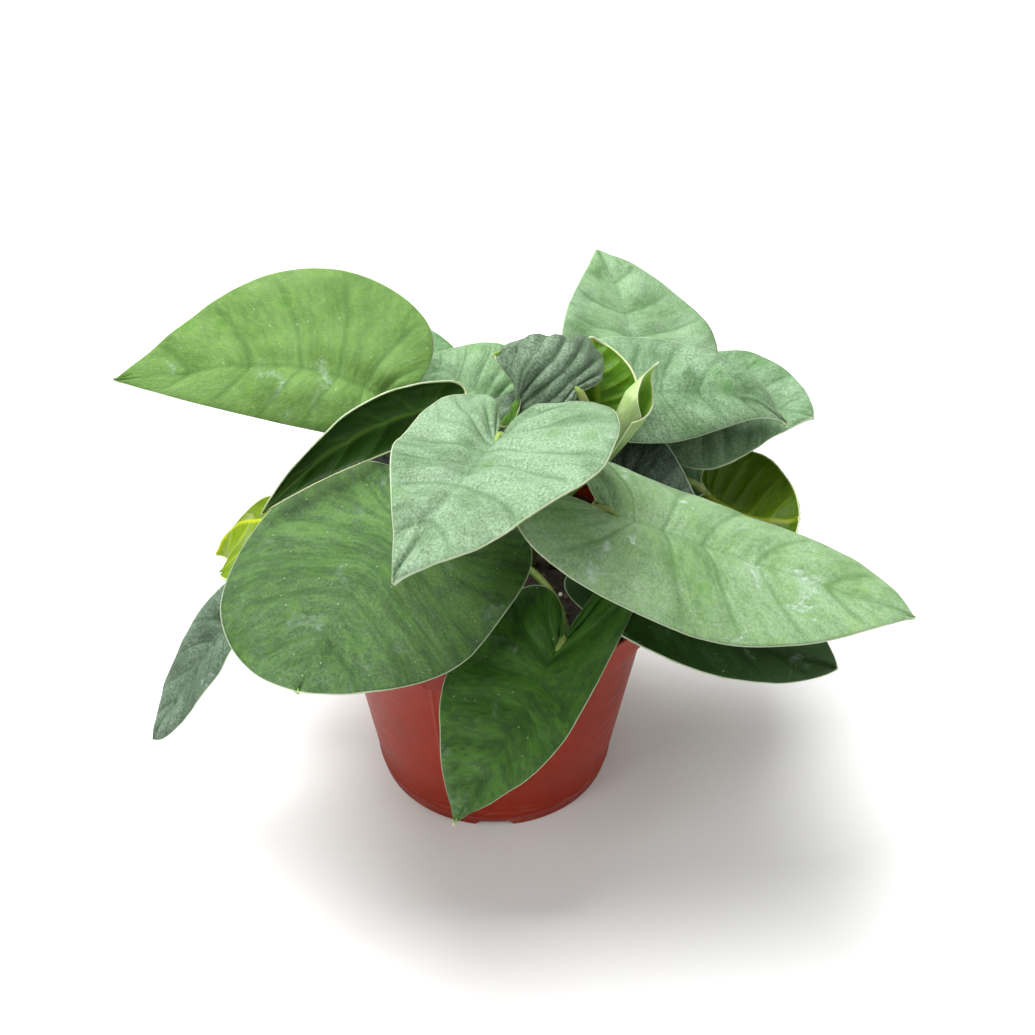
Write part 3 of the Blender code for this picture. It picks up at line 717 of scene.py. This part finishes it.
def under_skin(name, under):
    """The underside: plain brighter green with raised paler veins and midrib."""
    material, shader, add = new_material("leaf_under_" + name)
    t, s, margin, skin, across, seed = leaf_coordinates(add)
    side_veins, midrib = vein_masks(add, t, s, across)
    fibres = streak_noise(add, t, s, seed, 70.0, 4.0, 5.0)
    cells = grain(add, skin, 1.1, 3.0)
    red, grn, blue = under
    pale = srgb(min(255, red * 1.3 + 22), min(255, grn * 1.18 + 14), min(255, blue * 1.2 + 26))
    shaded = srgb(red * 0.8, grn * 0.86, blue * 0.75)
    body = blend_colour(add, remap(add, fibres, 0.35, 0.68), shaded, srgb(*under))
    body = tint(add, body, side_veins, 0.28, pale)
    body = tint(add, body, midrib, 0.85, pale)
    body = blend_colour(add, remap(add, margin, 0.7, 0.25), body, srgb(204, 214, 160))
    bump = bumped(add, plus(add, times(add, cells, 0.4), times(add, side_veins, 0.6)), 0.25, 0.0005)
    connect(shader, Base_Color=body, Roughness=remap(add, cells, 0.3, 0.7, 0.42, 0.55), Normal=bump)
    shader.inputs["Specular IOR Level"].default_value = 0.2
    return material


def edge_skin():
    """The cut-like rim of every blade: a clear, pale horny line."""
    material, shader, add = new_material("leaf_margin")
    wear = grain(add, add("TexCoord").outputs["Object"], 160.0, 4.0)
    colour = blend_colour(add, remap(add, wear, 0.35, 0.7), srgb(190, 202, 170), srgb(160, 176, 128))
    connect(shader, Base_Color=colour, Roughness=remap(add, wear, 0.3, 0.7, 0.35, 0.5))
    return material


def thicken(sheet):
    """Gives a leaf's sheet its thickness, with the underside and the margin in skins of their own."""
    flesh = sheet.modifiers.new("Thickness", "SOLIDIFY")
    flesh.thickness = BLADE_THICKNESS
    flesh.offset = 0
    flesh.material_offset = 1
    flesh.material_offset_rim = 2


leaf_rim = edge_skin()
blades = {}
for order, (name, shape_of) in enumerate(LEAVES.items()):
    blade = Blade(**{key: value for key, value in shape_of.items() if key not in ("vine", "node")})
    blades[name] = blade
    finish = PLAIN_FINISH | FINISHES.get(name, {})
    seed = 3.7 * order + 1
    upper = upper_skin(name, *[finish[key] for key in ("green", "silver", "chalk", "stripe", "painted_tip_shade")])
    mesh = blade_mesh("blade_" + name, blade, seed, finish["wrinkle"])
    leaf = add_piece("blade_" + name, mesh, [upper, under_skin(name, finish["under"]), leaf_rim])
    thicken(leaf)
    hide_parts("leaf_" + name)


# Vines: six stout trailing stems, cut short and tied into a bushy plant. They stand rooted in the soil,
# thicken to a ring at every joint where a leaf stalk starts, and carry short root stubs on those rings.
VINE_RADIUS = 2.4 * MM
VINE_TAPER = 0.3
VINE_ROOTED = 4 * MM
VINES = {
    "left": ((-16, 2, 80.6), (-20, 4, 94), (-25, 6, 108), (-27, 7, 120)),
    "centre": ((2, -6, 80.6), (2, -4, 98), (0, 0, 114), (-2, 6, 128)),
    "front": ((32, -22, 80.6), (32, -24, 84), (31, -25, 88)),
    "middle": ((12, 8, 80.6), (17, 7, 98), (22, 6, 114), (25, 6, 128)),
    "right": ((28, 12, 80.6), (34, 16, 94), (40, 18, 108), (46, 20, 118)),
    "back": ((-4, 26, 80.6), (-4, 29, 90), (-1, 32, 98)),
}


def vine_point(vine, share):
    return bezier([Vector(point) * MM for point in VINES[vine]], share)


def loft(name, path, radius_at, sides=20):
    """A skin around a path of points, with the radius for each (run along, angle round) from a function."""
    shape = bmesh.new()
    runs = shape.verts.layers.float_vector.new("run")
    rings = []
    ahead = (path[1] - path[0]).normalized()
    side = ahead.cross(Vector((0, 1, 0)) if abs(ahead.y) < 0.9 else Vector((1, 0, 0))).normalized()
    for i, point in enumerate(path):
        ahead = (path[min(i + 1, len(path) - 1)] - path[max(i - 1, 0)]).normalized()
        side = (side - ahead * side.dot(ahead)).normalized()
        top = side.cross(ahead)
        run = i / (len(path) - 1)
        ring = []
        for k in range(sides):
            turn = math.tau * k / sides
            out = side * math.cos(turn) + top * math.sin(turn)
            vert = shape.verts.new(point + out * radius_at(run, turn))
            vert[runs] = (run, turn, i)
            ring.append(vert)
        rings.append(ring)
    for low, high in zip(rings, rings[1:]):
        for k in range(sides):
            n = (k + 1) % sides
            shape.faces.new((low[k], low[n], high[n], high[k]))
    shape.faces.new(rings[0][::-1])
    shape.faces.new(rings[-1])
    bmesh.ops.recalc_face_normals(shape, faces=shape.faces)
    return finished_mesh(name, shape)


def stem_material(name, young, old, joint, joint_where):
    """Green stem bark: long fibres, paler lenticels, and a browner colour at its joints."""
    material, shader, add = new_material(name)
    run = add("SeparateXYZ", {"Vector": add("Attribute", attribute_name="run").outputs["Vector"]})
    place = add("TexCoord").outputs["Object"]
    drawn_out = {"X": times(add, run.outputs["X"], 6.0), "Y": times(add, run.outputs["Y"], 9.0)}
    fibre = grain(add, add("CombineXYZ", drawn_out).outputs[0], 1.0, 5.0, 0.65)
    patch = grain(add, place, 130.0, 4.0)
    specks = add("TexVoronoi", {"Vector": place, "Scale": 700.0}).outputs["Distance"]
    colour = blend_colour(add, remap(add, patch, 0.35, 0.65), srgb(*young), srgb(*old))
    colour = tint(add, colour, remap(add, fibre, 0.5, 0.75), 0.4, srgb(*joint))
    for where, spread in joint_where:
        away = calculate(add, "ABSOLUTE", calculate(add, "SUBTRACT", run.outputs["X"], where))
        colour = tint(add, colour, remap(add, away, spread, spread * 0.2), 0.7, srgb(*joint))
    colour = tint(add, colour, remap(add, specks, 0.16, 0.1), 0.5, srgb(196, 200, 150))
    bump = bumped(add, plus(add, fibre, times(add, patch, 0.5)), 0.35, 0.0004)
    connect(shader, Base_Color=colour, Roughness=remap(add, patch, 0.3, 0.7, 0.42, 0.58), Normal=bump)
    return material


for name in VINES:
    nodes = sorted({shape_of["node"] for shape_of in LEAVES.values() if shape_of["vine"] == name})
    root = vine_point(name, 0) - Vector((0, 0, VINE_ROOTED))
    path = [root] + [vine_point(name, i / 48) for i in range(49)]
    lean = chance.uniform(0, math.tau)

    def vine_skin(run, turn):
        ring = sum(math.exp(-((run - node) / 0.02) ** 2) for node in nodes)
        stub = sum(math.exp(-((run - node + 0.035) / 0.018) ** 2) for node in nodes)
        stub *= max(0, math.cos(turn * 2 + lean)) ** 12
        rounded = min(1, (1.003 - run) * 30) ** 0.5
        rib = 0.06 * math.cos(5 * turn + 2 * run)
        return VINE_RADIUS * (1 - VINE_TAPER * run) * (1 + 0.16 * ring + 0.4 * stub + rib) * rounded

    bark = stem_material("stem_" + name, (112, 126, 58), (136, 138, 76), (122, 96, 62),
                         [(node, 0.05) for node in nodes])
    vine = add_piece("stem_" + name, loft("stem_" + name, path, vine_skin, 28), [bark])
    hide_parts("vine_" + name)


# Leaf stalks: one to each blade. A stalk clasps the vine with a widened sheath, is channelled on top, and
# swells to a knee just before it runs into the underside of the blade at its notch.
STALK_RADIUS = 1.5 * MM
STALK_END_RADIUS = 1.0 * MM
STALK_GAP = 0.3 * MM
NOTCH_DEPTH = 2.6 * MM
SHEATH_RUN = 0.05
KNEE_RUN = 0.86


def stalk_path(blade, vine, node):
    """From inside the vine, up and over, and into the blade from below and behind its notch."""
    joint = vine_point(vine, node)
    _, along, _, facing = blade.midrib(0)
    end = blade.base - along * 1.2 * MM - facing * (STALK_END_RADIUS + STALK_GAP + 0.6 * MM)
    outward = Vector((end.x - joint.x, end.y - joint.y, 0)).normalized()
    start = joint + outward * (VINE_RADIUS + STALK_RADIUS + 2 * STALK_GAP)
    distance = (end - start).length
    lift = Vector((0, 0, 1)) * 0.4 * distance
    arrive = (along + facing * 0.5).normalized() * 0.35 * distance
    controls = (start, start + lift, end - arrive, end)
    path = [joint.lerp(start, i / 5) - Vector((0, 0, 1 * MM)) * (1 - i / 5) for i in range(5)]
    path += [bezier(controls, i / 36) for i in range(37)]
    into = blade.midrib(0.04)[0] - facing * NOTCH_DEPTH
    return path + [end.lerp(into, i / 5) for i in range(1, 6)]


def stalk_skin(run, turn):
    """The radius along and around a stalk: wide at its sheath and its knee, with a channel on top."""
    sheath = max(0, 1 - run / 0.35)
    knee = math.exp(-((run - KNEE_RUN) / 0.045) ** 2)
    channel = math.exp(-(((turn - math.pi / 2 + math.pi) % math.tau - math.pi) / 0.42) ** 2)
    radius = STALK_RADIUS + (STALK_END_RADIUS - STALK_RADIUS) * run
    ends = min(1, (1 - run) * 12 + 0.25)
    return radius * (1 + 0.25 * sheath + 0.28 * knee - 0.22 * channel * (1 - knee)) * ends


stalk_bark = stem_material("stalk_bark", (128, 152, 62), (108, 132, 56), (150, 156, 92),
                           [(SHEATH_RUN, 0.12), (KNEE_RUN, 0.06)])
for name, shape_of in LEAVES.items():
    path = stalk_path(blades[name], shape_of["vine"], shape_of["node"])
    stalk = add_piece("petiole_" + name, loft("petiole_" + name, path, stalk_skin), [stalk_bark])
    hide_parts("stalk_" + name)


# Rolled young leaf: the newest blade, still furled into a pale horn whose open mouth shows the brighter
# inside. It is one sheet rolled a turn and a bit, so one margin laps over the other.
SPEAR_FOOT = Vector((34, -3, 128)) * MM
SPEAR_TIP = Vector((51, 5, 161)) * MM
SPEAR_RADIUS = 4.7 * MM
SPEAR_START = math.radians(-205)
SPEAR_END = math.radians(215)
SPEAR_TWIST = math.radians(-35)
MOUTH_HEIGHT = 0.7
SPEAR_SKIN_LENGTH = 36.0


def spear_mesh(rows=56, columns=84):
    """A sheet wound about the line from foot to tip, with its mouth lowest where the margins lap."""
    reach = SPEAR_TIP - SPEAR_FOOT
    along = reach.normalized()
    across = along.cross(Vector((0, 1, 0))).normalized()
    facing = across.cross(along)
    shape = bmesh.new()
    veins = shape.verts.layers.float_vector.new("veins")
    skin = shape.verts.layers.float_vector.new("skin")
    bmesh.ops.create_grid(shape, x_segments=rows, y_segments=columns, size=1)
    for vert in shape.verts:
        t = (vert.co.x + 1) / 2
        share = (vert.co.y + 1) / 2
        turn = SPEAR_START + (SPEAR_END - SPEAR_START) * share
        rim = MOUTH_HEIGHT + (1 - MOUTH_HEIGHT) * (1 - abs(math.sin(min(abs(turn), math.pi) / 2))) ** 1.15
        rim -= 0.10 * max(0, abs(turn) - math.pi / 2)
        height = t * rim
        radius = SPEAR_RADIUS * (0.22 + 0.78 * math.sin(math.pi * min(height, 0.72) * 0.69))
        radius *= min(1, (1 - height) * 2.6 + 0.10) * (1 + 0.10 * turn / math.pi)
        heading = turn + SPEAR_TWIST
        out = facing * math.cos(heading) - across * math.sin(heading)
        vert.co = SPEAR_FOOT + reach * height + out * radius
        margin = min(share, 1 - share) * (SPEAR_END - SPEAR_START) * radius
        vert[veins] = (t, vert.co.y, min(margin, (1 - t) * rim * reach.length) * 1000)
        vert[skin] = (height * SPEAR_SKIN_LENGTH, turn * 5, 2.5)
    bmesh.ops.remove_doubles(shape, verts=shape.verts, dist=0.00003)
    bmesh.ops.recalc_face_normals(shape, faces=shape.faces)
    return finished_mesh("rolled_leaf", shape)


def young_skin(name, colour, vein_colour):
    """A pale young surface with fine veins, greener at the foot and clear at the margin."""
    material, shader, add = new_material(name)
    _, _, margin, skin, _, _ = leaf_coordinates(add)
    fibres = grain(add, stretched(add, skin, (0.12, 1.4, 1.0)), 1.6, 5.0, 0.6)
    cloud = grain(add, skin, 0.12, 3.0)
    red, grn, blue = colour
    shaded = srgb(red * 0.75, grn * 0.85, blue * 0.62)
    body = blend_colour(add, remap(add, fibres, 0.35, 0.68), srgb(*colour), srgb(*vein_colour))
    body = tint(add, body, remap(add, cloud, 0.4, 0.7), 0.4, shaded)
    upward = add("SeparateXYZ", {"Vector": skin}).outputs["X"]
    foot = remap(add, calculate(add, "DIVIDE", upward, SPEAR_SKIN_LENGTH), 0.45, 0.0)
    body = tint(add, body, foot, 0.75, srgb(96, 124, 60))
    body = blend_colour(add, remap(add, margin, 0.6, 0.2), body, srgb(214, 226, 176))
    rough = remap(add, fibres, 0.3, 0.7, 0.38, 0.5)
    connect(shader, Base_Color=body, Roughness=rough, Normal=bumped(add, fibres, 0.25, 0.0004))
    return material


outside = young_skin("rolled_outside", (160, 188, 120), (190, 208, 150))
inside = young_skin("rolled_inside", (138, 186, 62), (160, 202, 84))
spear = add_piece("rolled_leaf", spear_mesh(), [outside, inside, leaf_rim])
thicken(spear)
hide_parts("leaf_spear")


# Studio: a pale floor, a soft light from above and in front, weaker ones at the sides, and the camera. The
# camera looks down on the plant from the front, with the pot's axis a little left of the middle.
bpy.ops.mesh.primitive_plane_add(size=6, location=(0, 0, 0))
floor = bpy.context.object
floor.name = "floor"
pale, pale_shader, add = new_material("pale_floor")
speckle = grain(add, add("TexCoord").outputs["Object"], 3.0, 2.0)
connect(pale_shader, Base_Color=blend_colour(add, speckle, (0.86, 0.86, 0.86, 1), (0.90, 0.90, 0.90, 1)))
pale_shader.inputs["Roughness"].default_value = 0.9
floor.data.materials.append(pale)


def soft_light(name, place, size, power):
    lamp = bpy.data.lights.new(name, "AREA")
    lamp.shape = "DISK"
    lamp.size = size
    lamp.energy = power
    light = bpy.data.objects.new(name, lamp)
    bpy.context.scene.collection.objects.link(light)
    light.location = place
    light.rotation_euler = (Vector((0, 0, 0.1)) - Vector(place)).to_track_quat("-Z", "Y").to_euler()


soft_light("overhead", (-0.28, 0.25, 1.15), 0.95, 26)
soft_light("front_left", (-0.8, -0.9, 1.0), 0.6, 6)
soft_light("right_fill", (1.1, -0.4, 0.8), 0.8, 3)

world = bpy.data.worlds.new("studio")
bpy.context.scene.world = world
world.use_nodes = True
world.node_tree.nodes["Background"].inputs["Color"].default_value = (1, 1, 1, 1)
world.node_tree.nodes["Background"].inputs["Strength"].default_value = 0.37
bpy.context.scene.view_settings.view_transform = "Standard"

CAMERA_DISTANCE = 0.5
CAMERA_ELEVATION = math.radians(38)
CAMERA_AIM = Vector((0, 0, 0.1043))
CAMERA_LENS = 52.87
CAMERA_SHIFT = 0.0222
view = bpy.data.cameras.new("camera")
view.lens = CAMERA_LENS
view.sensor_width = 36
view.shift_x = CAMERA_SHIFT
view.clip_start = 0.05
camera = bpy.data.objects.new("camera", view)
bpy.context.scene.collection.objects.link(camera)
back = Vector((0, -math.cos(CAMERA_ELEVATION), math.sin(CAMERA_ELEVATION)))
camera.location = CAMERA_AIM + back * CAMERA_DISTANCE
camera.rotation_euler = (math.pi / 2 - CAMERA_ELEVATION, 0, 0)
bpy.context.scene.camera = camera

bpy.context.view_layer.update()
